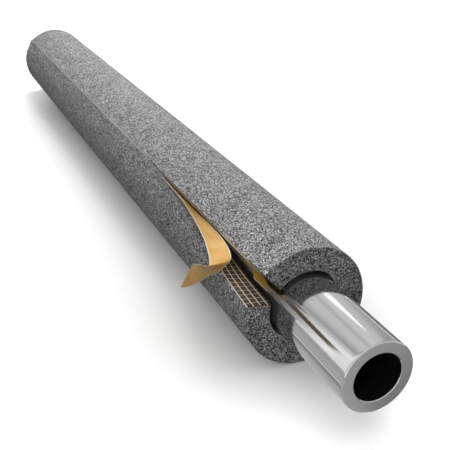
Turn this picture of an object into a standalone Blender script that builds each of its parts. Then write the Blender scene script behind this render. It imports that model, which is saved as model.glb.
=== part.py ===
"""Self-seal foam lagging on a length of steel pipe.

A one metre sleeve of elastomeric foam, slit along its length, sits on a thick steel pipe.
Both faces of the slit carry a reinforced adhesive tape under a golden release liner.
The lower lip stands open at the near end, where its liner is peeled off and curls over.

Axes: X along the pipe towards its bare end, Z up.
The origin is on the floor, under the middle of the whole part.
"""

import math

import bpy
import numpy as np

MM = 0.001

# Foam sleeve, in millimetres
FOAM_LENGTH = 1000.0
FOAM_RADIUS = 57.5
BORE_RADIUS = 35.0

# Steel pipe
PIPE_RADIUS = 31.75
PIPE_BORE_RADIUS = 21.25
PIPE_PROJECTION = 108.0
PIPE_CHAMFER = 0.9
PIPE_SIDES = 64

# Clearance kept between pieces that touch
GAP = 0.3

# Self-seal closure: two tapes and two liners lie side by side in the closed slit
SLIT_WIDTH = 3.0
TAPE_THICKNESS = 0.4
LINER_THICKNESS = 0.3
LINER_WIDTH = 22.3
TAPE_MARGIN = 0.6

# Corners of the slit, as (radius, angle) about the pipe's axis; 0 degrees is +Y and 90 is up
UPPER_ROOT = (BORE_RADIUS, 138.3)
UPPER_EDGE = (FOAM_RADIUS, 136.0)
LOWER_ROOT_OPEN = (36.3, 163.0)
LOWER_EDGE_OPEN = (59.6, 167.2)

# The lips part over this length; the lower one is fully open a little beyond the near end
OPENING_LENGTH = 276.0
OPENING_OVERRUN = 46.0

# Ring of the sleeve: fixed flats, then a stretch that bends with the lower lip
FLAT_STEP = 7.5
FIRST_FLAT = 131.25
FIXED_FLATS = 38
BEND_FLATS = 10

# The bore closes in on the pipe where the sleeve rests on it
FREE_BORE_MIDDLE = 130.0
FREE_BORE_HALF = 70.0
FREE_BORE_FADE = 42.0

# Cross-sections, as distances back from the near end: even steps while the lips part, then a few to the far end
OPENING_STEPS = 20
CLOSED_SECTIONS = (420.0, 700.0, FOAM_LENGTH)
SECTIONS = (*(OPENING_LENGTH * k / OPENING_STEPS for k in range(OPENING_STEPS + 1)), *CLOSED_SECTIONS)

# Peeled liner, from the slit to its cut end, one line for each place along it:
# inner margin (x, y, z) and outer margin (x, y, z), from the near end of the foam and the pipe's axis
PEEL = (
    ((-234, -30.6, 24.9), (-226, -45.8, 39.5)),
    ((-180, -35.0, 28.9), (-170, -50.8, 43.6)),
    ((-147, -40.1, 34.2), (-135, -55.8, 45.8)),
    ((-116, -42.9, 37.5), (-104, -59.7, 45.2)),
    ((-87, -43.9, 38.1), (-79, -63.3, 42.9)),
    ((-68, -45.4, 37.7), (-63, -66.8, 40.3)),
    ((-55, -47.8, 36.2), (-51, -69.7, 37.4)),
    ((-49, -50.4, 34.3), (-45, -72.4, 35.6)),
    ((-47, -53.8, 31.8), (-43, -74.4, 35.4)),
    ((-48, -56.6, 28.0), (-44, -76.4, 34.4)),
    ((-51, -58.2, 23.8), (-48, -77.3, 33.0)),
    ((-57, -59.4, 18.6), (-54, -76.4, 31.4)),
    ((-66, -60.9, 12.4), (-61, -74.6, 28.8)),
    ((-78, -63.2, 2.4), (-72, -72.4, 22.6)),
    ((-92, -65.8, -9.8), (-83, -70.5, 16.6)),
    ((-104, -68.4, -19.0), (-89, -69.4, 13.2)),
    ((-116, -74.0, -25.8), (-93, -68.6, 10.9)),
)
PEEL_STEPS = 4

# The liner starts to leave the slit here
PEEL_START = 300.0

# How far the peeled liner reaches out from the pipe's axis, on the -Y side
LINER_REACH = 77.4

# The foam's near end and the pipe's axis, from the origin under the middle of the part
NEAR_END = (FOAM_LENGTH - PIPE_PROJECTION) / 2
SIDE_SHIFT = (LINER_REACH - FOAM_RADIUS) / 2
LIFT = FOAM_RADIUS * math.cos(math.radians(FLAT_STEP / 2))


def polar(radius, angle):
    """Point of a cross-section, (y, z) about the pipe's axis, from a radius and an angle in degrees."""
    turn = math.radians(angle)
    return np.array([radius * math.cos(turn), radius * math.sin(turn)])


def smooth(value):
    """Cubic ease from 0 to 1, flat at both ends."""
    value = np.clip(value, 0.0, 1.0)
    return value * value * (3.0 - 2.0 * value)


UPPER_FACE = (polar(*UPPER_ROOT), polar(*UPPER_EDGE))
SLIT_ALONG = (UPPER_FACE[1] - UPPER_FACE[0]) / np.linalg.norm(UPPER_FACE[1] - UPPER_FACE[0])
SLIT_ACROSS = np.array([-SLIT_ALONG[1], SLIT_ALONG[0]])
SLIT_DEPTH = float(np.linalg.norm(UPPER_FACE[1] - UPPER_FACE[0]))


def closed_corner(upper_corner):
    """Corner of the closed lower lip, as (radius, angle), one slit width from the upper lip's corner."""
    y, z = upper_corner + SLIT_ACROSS * SLIT_WIDTH
    return math.hypot(y, z), math.degrees(math.atan2(z, y)) % 360


def openness(back):
    """How far the lower lip has swung open, 0 to 1, at a distance back from the near end."""
    run = OPENING_LENGTH + OPENING_OVERRUN
    return float(smooth((OPENING_LENGTH - back) / run) / smooth(OPENING_LENGTH / run))


def lower_corners(back):
    """Root and outer edge of the lower lip, as (radius, angle), between their closed and open places."""
    swing = openness(back)
    corners = []
    for upper, opened in zip(UPPER_FACE, (LOWER_ROOT_OPEN, LOWER_EDGE_OPEN)):
        closed = closed_corner(upper)
        corners.append(tuple(a + (b - a) * swing for a, b in zip(closed, opened)))
    return corners


def lower_face(back):
    """Ends of the lower lip's cut face in its cross-section, from the root to the outer edge."""
    return tuple(polar(*corner) for corner in lower_corners(back))


def bore_radius(angle):
    """Free radius beside the slit, easing down to the pipe's surface where the sleeve rests on it."""
    away = abs((angle - FREE_BORE_MIDDLE + 180.0) % 360.0 - 180.0)
    seated = smooth((away - FREE_BORE_HALF) / FREE_BORE_FADE)
    return BORE_RADIUS + (PIPE_RADIUS + GAP - BORE_RADIUS) * seated


def ring(back, outside):
    """One edge of the sleeve's cross-section, clockwise from the upper lip round to the lower lip."""
    start = UPPER_FACE[1] if outside else UPPER_FACE[0]
    end_radius, end_angle = lower_corners(back)[1 if outside else 0]
    angles = [FIRST_FLAT - FLAT_STEP * k for k in range(FIXED_FLATS)]
    last = angles[-1]
    points = [start]
    for angle in angles:
        points.append(polar(FOAM_RADIUS if outside else bore_radius(angle), angle))
    for k in range(1, BEND_FLATS + 1):
        part = k / BEND_FLATS
        angle = last + (end_angle - 360.0 - last) * part
        free = FOAM_RADIUS if outside else bore_radius(angle)
        points.append(polar(free + (end_radius - free) * smooth(part), angle))
    return np.array(points)


def at_section(section, back):
    """Points of a cross-section in the part's frame, in metres."""
    x = np.full(len(section), NEAR_END - back)
    return np.column_stack([x, section[:, 0] + SIDE_SHIFT, section[:, 1] + LIFT]) * MM


def loft(rings):
    """Closed skin over equal rings: quads from ring to ring, and a face on each end."""
    count = len(rings[0])
    faces = []
    for i in range(len(rings) - 1):
        for j in range(count):
            k = (j + 1) % count
            faces.append((i * count + j, i * count + k, (i + 1) * count + k, (i + 1) * count + j))
    return np.concatenate(rings), faces


def linear(value):
    """sRGB channel to linear light."""
    return value / 12.92 if value <= 0.04045 else ((value + 0.055) / 1.055) ** 2.4


def finish(name, colour, roughness, metallic=0.0):
    """Principled material from an sRGB hex colour."""
    material = bpy.data.materials.new(name)
    material.use_nodes = True
    shader = material.node_tree.nodes["Principled BSDF"]
    channels = [linear(int(colour[i:i + 2], 16) / 255) for i in (1, 3, 5)]
    shader.inputs["Base Color"].default_value = (*channels, 1.0)
    shader.inputs["Roughness"].default_value = roughness
    shader.inputs["Metallic"].default_value = metallic
    return material


def add_piece(name, points, faces, material, smooth_angle=None):
    """Named object from points and faces, with its normals turned outwards."""
    mesh = bpy.data.meshes.new(name)
    mesh.from_pydata([tuple(p) for p in points], [], faces)
    mesh.validate()
    if signed_volume(mesh) < 0:
        mesh.flip_normals()
    if smooth_angle:
        mesh.shade_smooth()
        mesh.set_sharp_from_angle(angle=math.radians(smooth_angle))
    mesh.materials.append(material)
    piece = bpy.data.objects.new(name, mesh)
    bpy.context.scene.collection.objects.link(piece)
    return piece


def signed_volume(mesh):
    """Volume under the faces, negative where the mesh is inside out."""
    mesh.calc_loop_triangles()
    total = 0.0
    for triangle in mesh.loop_triangles:
        a, b, c = (mesh.vertices[i].co for i in triangle.vertices)
        total += a.dot(b.cross(c)) / 6.0
    return total


def make_foam():
    """C-shaped sleeve: an outer and an inner edge of equal counts, lofted through the cross-sections."""
    rings = []
    for back in SECTIONS:
        outline = np.concatenate([ring(back, True), ring(back, False)[::-1]])
        rings.append(at_section(outline, back))
    points, faces = loft(rings)
    half = len(rings[0]) // 2
    last = (len(rings) - 1) * half * 2
    for j in range(half - 1):
        k = 2 * half - 1 - j
        faces.append((j + 1, j, k, k - 1))
        faces.append((last + j, last + j + 1, last + k - 1, last + k))
    add_piece("foam_sleeve", points, faces, finish("elastomeric_foam", "#54555A", 0.92), smooth_angle=30)


def make_pipe():
    """Thick tube turned from its section, chamfered at both rims of each end."""
    near = PIPE_PROJECTION
    far = -FOAM_LENGTH
    c = PIPE_CHAMFER
    profile = (
        (far, PIPE_RADIUS - c), (far + c, PIPE_RADIUS), (near - c, PIPE_RADIUS), (near, PIPE_RADIUS - c),
        (near, PIPE_BORE_RADIUS + c), (near - c, PIPE_BORE_RADIUS),
        (far + c, PIPE_BORE_RADIUS), (far, PIPE_BORE_RADIUS + c),
    )
    turns = np.arange(PIPE_SIDES) * 2 * math.pi / PIPE_SIDES
    rings = []
    for x, radius in profile:
        section = np.column_stack([radius * np.cos(turns), radius * np.sin(turns)])
        rings.append(at_section(section, -x))
    points, faces = loft(rings + rings[:1])
    count = PIPE_SIDES * len(profile)
    faces = [tuple(i % count for i in face) for face in faces]
    add_piece("steel_pipe", points[:count], faces, finish("polished_steel", "#C9CCCF", 0.12, 1.0), smooth_angle=30)


def strip_on_face(root, edge, near_side, far_side, start, stop):
    """Rectangle standing on a cut face, (y, z): from near_side to far_side off it, start to stop along it."""
    along = (edge - root) / np.linalg.norm(edge - root)
    across = np.array([-along[1], along[0]])
    corners = ((start, near_side), (stop, near_side), (stop, far_side), (start, far_side))
    return np.array([root + along * s + across * t for s, t in corners])


def strip_skin(rings):
    """Closed skin over four-cornered rings; both broad sides are split along the same diagonal, as a twist needs."""
    faces = [(3, 2, 1, 0)]
    for near in range(0, 4 * (len(rings) - 1), 4):
        far = near + 4
        faces.append((near, near + 1, far))
        faces.append((near + 1, far + 1, far))
        faces.append((near + 2, near + 3, far + 3))
        faces.append((near + 2, far + 3, far + 2))
        faces.append((near + 1, near + 2, far + 2, far + 1))
        faces.append((near + 3, near, far, far + 3))
    faces.append(tuple(range(4 * len(rings) - 4, 4 * len(rings))))
    return np.concatenate(rings), faces


def trimmed_sections():
    """Places of the sleeve's cross-sections, with both ends drawn in by the clearance."""
    return (GAP, *SECTIONS[1:-1], SECTIONS[-1] - GAP)


def make_tapes():
    """One tape on each cut face, clear of the foam by the gap."""
    material = finish("reinforced_tape", "#4A4038", 0.45)
    start = TAPE_MARGIN
    upper = []
    lower = []
    for back in trimmed_sections():
        stop = SLIT_DEPTH - TAPE_MARGIN
        section = strip_on_face(*UPPER_FACE, GAP, GAP + TAPE_THICKNESS, start, stop)
        upper.append(at_section(section, back))
        root, edge = lower_face(back)
        stop = float(np.linalg.norm(edge - root)) - TAPE_MARGIN
        section = strip_on_face(root, edge, -GAP, -GAP - TAPE_THICKNESS, start, stop)
        lower.append(at_section(section, back))
    add_piece("adhesive_tape_upper", *strip_skin(upper), material)
    add_piece("adhesive_tape_lower", *strip_skin(lower), material)


def make_upper_liner(material):
    """Liner still in place on the upper lip's tape."""
    off = 2 * GAP + TAPE_THICKNESS
    section = strip_on_face(*UPPER_FACE, off, off + LINER_THICKNESS, 0.1, 0.1 + LINER_WIDTH)
    rings = [at_section(section, back) for back in (GAP, FOAM_LENGTH - GAP)]
    add_piece("release_liner_upper", *strip_skin(rings), material)


def curve_through(points, steps):
    """Catmull-Rom curve: each span is a cubic whose end slopes are half the step between its neighbours."""
    points = np.asarray(points, dtype=float)
    padded = np.concatenate([[2 * points[0] - points[1]], points, [2 * points[-1] - points[-2]]])
    t = (np.arange(steps) / steps)[:, None]
    spans = []
    for a, b, c, d in zip(padded[:-3], padded[1:-2], padded[2:-1], padded[3:]):
        cubic = 2 * b + (c - a) * t + (2 * a - 5 * b + 4 * c - d) * t ** 2 + (3 * b - 3 * c + d - a) * t ** 3
        spans.append(cubic / 2)
    return np.concatenate([*spans, points[-1:]])


def make_lower_liner(material):
    """Ribbon that lies in the closed slit, rises out of it, twists flat, curls over and ends cut askew."""
    middle = 3 * GAP + TAPE_THICKNESS + 1.5 * LINER_THICKNESS
    flat = strip_on_face(*UPPER_FACE, middle, middle, 0.1, 0.1 + LINER_WIDTH)
    inner = [(-back, *flat[0]) for back in (FOAM_LENGTH - GAP, 650.0, PEEL_START)]
    outer = [(-back, *flat[1]) for back in (FOAM_LENGTH - GAP, 650.0, PEEL_START)]
    inner = curve_through(inner + [place[0] for place in PEEL], PEEL_STEPS)
    outer = curve_through(outer + [place[1] for place in PEEL], PEEL_STEPS)
    heading = np.gradient((inner + outer) / 2, axis=0)
    normal = np.cross(outer - inner, heading)
    normal *= LINER_THICKNESS / 2 / np.linalg.norm(normal, axis=1)[:, None]
    rings = []
    for corners in zip(inner + normal, outer + normal, outer - normal, inner - normal):
        corners = np.array(corners)
        rings.append((corners + (NEAR_END, SIDE_SHIFT, LIFT)) * MM)
    add_piece("release_liner_lower", *strip_skin(rings), material)


def main():
    for item in list(bpy.data.objects):
        bpy.data.objects.remove(item, do_unlink=True)
    make_foam()
    make_pipe()
    make_tapes()
    liner = finish("siliconised_paper", "#C08A42", 0.4)
    make_upper_liner(liner)
    make_lower_liner(liner)


main()
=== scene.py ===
"""Looks of the foam lagging on its length of steel pipe.

A point of a piece is (x, y, z) in millimetres: x from the foam's near end towards the pipe's bare end, y and z
from the pipe's axis. place() turns it to metres in the part's frame. Floor, lights and camera are in metres.
An angle is about the axis, in degrees: 0 is +Y and 90 is up. Back is the distance behind the foam's near end.
"""

import math

import bpy
import numpy as np
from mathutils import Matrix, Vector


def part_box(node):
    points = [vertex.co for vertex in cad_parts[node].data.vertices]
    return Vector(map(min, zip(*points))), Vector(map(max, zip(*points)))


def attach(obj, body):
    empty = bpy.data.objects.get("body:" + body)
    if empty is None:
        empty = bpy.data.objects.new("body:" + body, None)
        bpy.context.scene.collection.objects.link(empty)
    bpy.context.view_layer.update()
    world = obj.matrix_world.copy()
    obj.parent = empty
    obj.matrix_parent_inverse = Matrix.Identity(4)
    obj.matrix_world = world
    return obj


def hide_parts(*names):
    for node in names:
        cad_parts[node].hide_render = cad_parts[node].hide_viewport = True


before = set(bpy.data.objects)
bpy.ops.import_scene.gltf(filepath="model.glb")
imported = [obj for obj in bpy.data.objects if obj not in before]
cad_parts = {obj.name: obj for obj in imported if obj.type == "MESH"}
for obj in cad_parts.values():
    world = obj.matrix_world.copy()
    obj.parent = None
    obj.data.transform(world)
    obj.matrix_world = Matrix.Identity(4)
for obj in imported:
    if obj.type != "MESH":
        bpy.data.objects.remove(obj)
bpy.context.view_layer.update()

MM = 0.001

# The foam's near end and the pipe's axis, read off the frame
NEAR_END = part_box("foam_sleeve")[1][0] / MM
PIPE_LOW, PIPE_HIGH = (np.array(corner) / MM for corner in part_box("steel_pipe"))
AXIS_Y = (PIPE_LOW[1] + PIPE_HIGH[1]) / 2
AXIS_Z = (PIPE_LOW[2] + PIPE_HIGH[2]) / 2

# Foam sleeve, and the rounding of its rims
FOAM_LENGTH = 1000.0
FOAM_RADIUS = 57.5
BORE_RADIUS = 35.0
RIM_ROUND = 0.7

# Steel pipe, and the rounding of its rims
PIPE_RADIUS = 31.75
PIPE_BORE_RADIUS = 21.25
PIPE_PROJECTION = 108.0
PIPE_ROUND = 0.9

# Closure: a slit between two taped faces, each with its liner, and a gap between neighbours
GAP = 0.3
SLIT_WIDTH = 3.0
TAPE_THICKNESS = 0.4
TAPE_MARGIN = 0.6
LINER_THICKNESS = 0.3
LINER_WIDTH = 22.3
LINER_MARGIN = 0.1

# Corners of the slit, as (radius, angle)
UPPER_ROOT = (BORE_RADIUS, 138.3)
UPPER_EDGE = (FOAM_RADIUS, 136.0)
LOWER_ROOT_OPEN = (36.3, 163.0)
LOWER_EDGE_OPEN = (59.6, 167.2)

# The lips part over this length, and the lower one is fully open a little beyond the near end
OPENING_LENGTH = 276.0
OPENING_OVERRUN = 46.0

# The lower lip's swing lags by this share over the middle of the opening, eased in and out
LIP_LAG = 0.075
LAG_FROM = 45.0
LAG_FADE_IN = 45.0
LAG_TO = 230.0
LAG_FADE_OUT = 80.0

# The foam bends with the lower lip past this angle, and its bore is free of the pipe beside the slit
BEND_START = -146.25
FREE_BORE_MIDDLE = 130.0
FREE_BORE_HALF = 70.0
FREE_BORE_FADE = 42.0

# Both lips stand proud of the round, where the stiff tape pushes them out, and meet over the shut slit
LIP_RISE = 1.9
LIP_RISE_OPEN = 0.8
LIP_RISE_SPAN = 15.0
SEAM_GAP = 0.3
SEAM_PARTS = 0.08

# Points on the foam's outline: on half a cut face, a rounded rim and the shoulder beside the lower edge.
# A rim is rounded towards a point some way along the arc, and takes the place of the arc's last points.
FACE_POINTS = 6
ROUND_POINTS = 5
SHOULDER_POINTS = 3
ROUND_AIM = 4
ROUND_TAKES = 2

# Cross-sections of the foam: how many over the opening and over the shut part, and the reach of the second
OPEN_SECTIONS = 92
SHUT_SECTIONS = 70
SHUT_REACH = (290.0, 985.0)

# Points round a rim that turns by a quarter, at an end of the foam or of the pipe
QUARTER_POINTS = 6

# Material slots of the foam and of the pipe
SKIN, CUT, BORE = range(3)
DRAWN, FACED, SCALED = range(3)

# Peeled liner, from the slit to its cut end: inner margin and outer margin
PEEL = (
    ((-234, -30.6, 24.9), (-226, -45.8, 39.5)),
    ((-180, -35.0, 28.9), (-170, -50.8, 43.6)),
    ((-147, -40.1, 34.2), (-135, -55.8, 45.8)),
    ((-116, -42.9, 37.5), (-104, -59.7, 45.2)),
    ((-87, -43.9, 38.1), (-79, -63.3, 42.9)),
    ((-68, -45.4, 37.7), (-63, -66.8, 40.3)),
    ((-55, -47.8, 36.2), (-51, -69.7, 37.4)),
    ((-49, -50.4, 34.3), (-45, -72.4, 35.6)),
    ((-47, -53.8, 31.8), (-43, -74.4, 35.8)),
    ((-48, -56.6, 28.0), (-44, -76.4, 35.7)),
    ((-51, -58.2, 23.8), (-48, -77.3, 34.4)),
    ((-57, -59.4, 18.6), (-54, -76.4, 31.6)),
    ((-66, -60.9, 12.4), (-61, -74.6, 28.0)),
    ((-78, -63.2, 2.4), (-72, -72.4, 22.1)),
    ((-92, -65.8, -9.8), (-83, -70.5, 16.6)),
    ((-104, -68.4, -19.0), (-89, -69.4, 13.2)),
    ((-116, -74.0, -25.8), (-93, -68.6, 10.9)),
)
PEEL_START = 300.0
SLIT_MIDDLE = 650.0
CURVE_STEPS = 10

# Reinforcing threads of the tape: a square net, its long threads at these distances from the bore's corner.
# Real threads are finer, too fine to show, so they are drawn as wide as they need to show.
THREAD_PITCH = 6.4
THREAD_WIDTH = 0.66
THREAD_THICKNESS = 0.2
LONG_THREADS = (3.5, 9.9, 16.3, 22.4)

# A cross thread's width as a share of a long one's, and its top below the long ones' middle
CROSS_SHARE = 0.9
CROSS_DROP = 0.08
BLOCK_FACES = np.array([(0, 1, 2, 3), (7, 6, 5, 4), (0, 4, 5, 1), (1, 5, 6, 2), (2, 6, 7, 3), (3, 7, 4, 0)])

# Bends sharper than this, in degrees, are shaded as edges
RIBBON_SHARP = 50.0
BLOCK_SHARP = 30.0


# Shapes

def smooth(value):
    """Cubic ease from 0 to 1, flat at both ends: 3 v squared less 2 v cubed."""
    value = np.clip(value, 0.0, 1.0)
    return value * value * (3.0 - 2.0 * value)


def polar(radius, angle):
    """Point (y, z) of a cross-section at a radius and an angle: (r cos a, r sin a)."""
    turn = np.radians(angle)
    return np.stack([radius * np.cos(turn), radius * np.sin(turn)], axis=-1)


def place(points):
    """Points in metres in the part's frame: the axis and the foam's near end are added."""
    return (np.asarray(points, dtype=float) + (NEAR_END, AXIS_Y, AXIS_Z)) * MM


def unit(vectors):
    """Vectors divided by their lengths."""
    return vectors / np.linalg.norm(vectors, axis=-1, keepdims=True)


UPPER_FACE = (polar(*UPPER_ROOT), polar(*UPPER_EDGE))
SLIT_ALONG = unit(UPPER_FACE[1] - UPPER_FACE[0])
SLIT_ACROSS = np.array([-SLIT_ALONG[1], SLIT_ALONG[0]])


def openness(back):
    """How far the lower lip has swung open: the ease over the opening's run, 1 at the near end.

    A little is taken off over the middle of the run, where the peeled liner lies close over the lip.
    """
    run = OPENING_LENGTH + OPENING_OVERRUN
    swing = smooth((OPENING_LENGTH - back) / run) / smooth(OPENING_LENGTH / run)
    lag = LIP_LAG * smooth((back - LAG_FROM) / LAG_FADE_IN) * smooth((LAG_TO - back) / LAG_FADE_OUT)
    return swing - lag


def lower_corners(back):
    """Root and edge of the lower lip, each as radius and angle.

    Both go in a straight line from the closed corner's to the open one's, by how far the lip has swung.
    """
    swing = openness(back)
    corners = []
    for upper, (open_radius, open_angle) in zip(UPPER_FACE, (LOWER_ROOT_OPEN, LOWER_EDGE_OPEN)):
        y, z = upper + SLIT_ACROSS * SLIT_WIDTH
        closed_radius = math.hypot(y, z)
        closed_angle = math.degrees(math.atan2(z, y)) % 360
        radius = closed_radius + (open_radius - closed_radius) * swing
        angle = closed_angle + (open_angle - closed_angle) * swing
        corners.append((radius, angle))
    return corners


def lower_face(back):
    """Ends of the lower cut face in each cross-section, (y, z) of the root and of the edge."""
    return tuple(polar(radius, angle) for radius, angle in lower_corners(back))


def bore_radius(angle):
    """Free radius beside the slit, easing to the pipe's surface and a gap where the sleeve rests on it."""
    away = np.abs((angle - FREE_BORE_MIDDLE + 180.0) % 360.0 - 180.0)
    seated = smooth((away - FREE_BORE_HALF) / FREE_BORE_FADE)
    return BORE_RADIUS + (PIPE_RADIUS + GAP - BORE_RADIUS) * seated


def lower_lip(back):
    """Tip of the lower lip, (y, z): its edge moved out along its face, and to the upper lip while shut."""
    root, edge = lower_face(back)
    run = unit(edge - root)
    over = np.stack([run[:, 1], -run[:, 0]], axis=-1)
    shut = (1.0 - smooth(openness(back) / SEAM_PARTS))[:, None]
    rise = LIP_RISE_OPEN + (LIP_RISE - LIP_RISE_OPEN) * shut
    return edge + run * rise + over * (SLIT_WIDTH - SEAM_GAP) * shut


def turn_of(points):
    """Radius and angle, from -360 to 0 degrees, of points (y, z)."""
    angle = np.degrees(np.arctan2(points[..., 1], points[..., 0])) % 360.0
    return np.hypot(points[..., 0], points[..., 1]), angle - 360.0


def bore_arc(back, count):
    """Bore edge of the cross-sections, clockwise from the upper to the lower lip.

    The radius is the free one, eased to the lower corner's over the bend.
    """
    start_angle = UPPER_ROOT[1]
    end_radius, end_angle = (item[:, None] for item in lower_corners(back)[0])
    end_angle = end_angle - 360.0
    angle = start_angle + (end_angle - start_angle) * np.linspace(0.0, 1.0, count)[None, :]
    free = bore_radius(angle)
    return polar(free + (end_radius - free) * smooth((BEND_START - angle) / (BEND_START - end_angle)), angle)


def skin_arc(back, count):
    """Outer edge of the cross-sections, clockwise from the upper to the lower lip's tip.

    The radius is the sleeve's, eased to the lower edge's over the bend. Each lip adds its rise times the
    square of the nearness to it, and the floor cuts the underside off flat.
    """
    start_radius, start_angle = turn_of(UPPER_FACE[1] + SLIT_ALONG * LIP_RISE)
    start_angle = start_angle + 360.0
    tip_radius, end_angle = (item[:, None] for item in turn_of(lower_lip(back)))
    edge_radius = lower_corners(back)[1][0][:, None]
    angle = start_angle + (end_angle - start_angle) * np.linspace(0.0, 1.0, count)[None, :]
    bend = smooth((BEND_START - angle) / (BEND_START - end_angle))
    above = np.clip(1.0 - (start_angle - angle) / LIP_RISE_SPAN, 0.0, 1.0) ** 2
    below = np.clip(1.0 - (angle - end_angle) / LIP_RISE_SPAN, 0.0, 1.0) ** 2
    radius = FOAM_RADIUS + (edge_radius - FOAM_RADIUS) * bend
    radius = radius + (start_radius - FOAM_RADIUS) * above + (tip_radius - edge_radius) * below
    points = polar(radius, angle)
    points[..., 1] = np.maximum(points[..., 1], -AXIS_Z)
    return points


def line(start, end, count):
    """Points on the straight lines from start to end, both ends included."""
    t = np.linspace(0.0, 1.0, count)[None, :, None]
    return start[:, None, :] + (end - start)[:, None, :] * t


def rounded(before, corner, after):
    """Rounded corner: the quadratic curve from a rounding before it to a rounding after it, drawn to it."""
    first = (corner + unit(before - corner) * RIM_ROUND)[:, None]
    last = (corner + unit(after - corner) * RIM_ROUND)[:, None]
    t = np.linspace(0.0, 1.0, ROUND_POINTS)[None, :, None]
    return (1 - t) ** 2 * first + 2 * t * (1 - t) * corner[:, None] + t ** 2 * last


def half_outline(back, arc, shoulder):
    """Half of the outline: from the middle of the upper face, round an arc, to the middle of the lower face.

    Both ends of the arc are rounded, and the lower face is reached by way of the shoulder.
    """
    root, tip = lower_face(back)
    upper_middle = np.broadcast_to((UPPER_FACE[0] + UPPER_FACE[1]) / 2, root.shape)
    lower_middle = (root + tip) / 2
    first = rounded(upper_middle, arc[:, 0], arc[:, ROUND_AIM])
    last = rounded(arc[:, -1 - ROUND_AIM], arc[:, -1], shoulder)
    return np.concatenate([
        line(upper_middle, first[:, 0], FACE_POINTS)[:, :-1],
        first,
        arc[:, ROUND_TAKES:-ROUND_TAKES],
        last,
        line(last[:, -1], shoulder, SHOULDER_POINTS)[:, 1:],
        line(shoulder, lower_middle, FACE_POINTS)[:, 1:],
    ], axis=1)


def outline(back, count=260):
    """Whole outline of the cross-sections, from skin to bore, with a count of points on each arc.

    Point j and its opposite number from the end face each other. The bore's shoulder is an eighth of the way
    along the lower face.
    """
    root, edge = lower_face(back)
    outer = half_outline(back, skin_arc(back, count), edge)
    inner = half_outline(back, bore_arc(back, count), root + (edge - root) / 8)
    return np.concatenate([outer, inner[:, ::-1]], axis=1)


def inset(sections, depth):
    """Closed outlines moved inwards by a depth, square to the line through each point's neighbours."""
    run = unit(np.roll(sections, -1, axis=1) - np.roll(sections, 1, axis=1))
    inward = np.stack([run[..., 1], -run[..., 0]], axis=-1)
    return sections + inward * depth[:, None, None]


def quads_over(rows, columns, wrap_rows=False, wrap_columns=False):
    """Corner numbers of the quads between the rows and columns of a grid of points."""
    i = np.arange(rows if wrap_rows else rows - 1)[:, None]
    j = np.arange(columns if wrap_columns else columns - 1)[None, :]
    down = (i + 1) % rows
    right = (j + 1) % columns
    corners = [i * columns + j, i * columns + right, down * columns + right, down * columns + j]
    corners = [np.broadcast_to(corner, (i.size, j.size)) for corner in corners]
    return np.stack(corners, axis=-1).reshape(-1, 4)


def closed_loft(rows, columns):
    """Corner numbers of the quads of a body lofted through closed outlines: its side, then its two ends.

    An end is a strip of quads, each between two points of the outline and the two that face them.
    """
    j = np.arange(columns // 2 - 1)
    start = np.stack([j + 1, j, columns - 1 - j, columns - 2 - j], axis=-1)
    end = start[:, ::-1] + (rows - 1) * columns
    return np.concatenate([quads_over(rows, columns, wrap_columns=True), start, end])


def make_mesh(name, points, quads, materials, slots=None, uvs=None):
    """Smooth-shaded object from points in metres and quads, turned outwards by the sign of its volume."""
    corners = points[quads]
    volume = np.einsum("ij,ij->i", corners[:, 0], np.cross(corners[:, 1], corners[:, 2]))
    volume += np.einsum("ij,ij->i", corners[:, 0], np.cross(corners[:, 2], corners[:, 3]))
    if volume.sum() < 0:
        quads = quads[:, ::-1]
    quads = np.ascontiguousarray(quads)
    mesh = bpy.data.meshes.new(name)
    mesh.vertices.add(len(points))
    mesh.vertices.foreach_set("co", points.astype(np.float32).ravel())
    mesh.loops.add(quads.size)
    mesh.loops.foreach_set("vertex_index", quads.astype(np.int32).ravel())
    mesh.polygons.add(len(quads))
    mesh.polygons.foreach_set("loop_start", np.arange(0, quads.size, 4, dtype=np.int32))
    mesh.polygons.foreach_set("use_smooth", np.ones(len(quads), dtype=bool))
    for material in materials:
        mesh.materials.append(material)
    if slots is not None:
        mesh.polygons.foreach_set("material_index", slots.astype(np.int32))
    if uvs is not None:
        layer = mesh.uv_layers.new(name="UVMap")
        layer.data.foreach_set("uv", uvs[quads.ravel()].astype(np.float32).ravel())
    mesh.update(calc_edges=True)
    mesh.validate()
    made = bpy.data.objects.new(name, mesh)
    bpy.context.scene.collection.objects.link(made)
    return made


# Materials

def linear(colour):
    """sRGB hex colour to linear red, green, blue and alpha."""
    channels = np.array([int(colour[i:i + 2], 16) / 255 for i in (1, 3, 5)])
    light = np.where(channels <= 0.04045, channels / 12.92, ((channels + 0.055) / 1.055) ** 2.4)
    return (*light.tolist(), 1.0)


def per_metre(size):
    """Scale of a pattern on coordinates in metres whose features are a size in mm: 1000 over the size."""
    return 1000.0 / size


def node(tree, kind, values=(), links=(), stops=(), **settings):
    """Adds a node: settings are its own properties, values its inputs' constants, links what feeds them.

    A colour Mix goes by numbers: input 0 is its factor, 6 and 7 its colours, and output 2 the mixed one.
    stops are (position, grey) pairs for a node that has a colour ramp, which starts with two.
    """
    made = tree.nodes.new(kind)
    for key, value in settings.items():
        setattr(made, key, value)
    for number, (position, grey) in enumerate(stops):
        elements = made.color_ramp.elements
        stop = elements[number] if number < 2 else elements.new(position)
        stop.position = position
        stop.color = (grey, grey, grey, 1.0)
    for key, value in dict(values).items():
        made.inputs[key].default_value = value
    for key, socket in dict(links).items():
        tree.links.new(socket, made.inputs[key])
    return made


def new_material(name):
    """New material and its tree, emptied of nodes."""
    material = bpy.data.materials.new(name)
    material.use_nodes = True
    tree = material.node_tree
    tree.nodes.clear()
    return material, tree


# Contrast of the foam's grain: the exponent leaves most cells dark and a few bright
GRAIN_CONTRAST = 3.6

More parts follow.
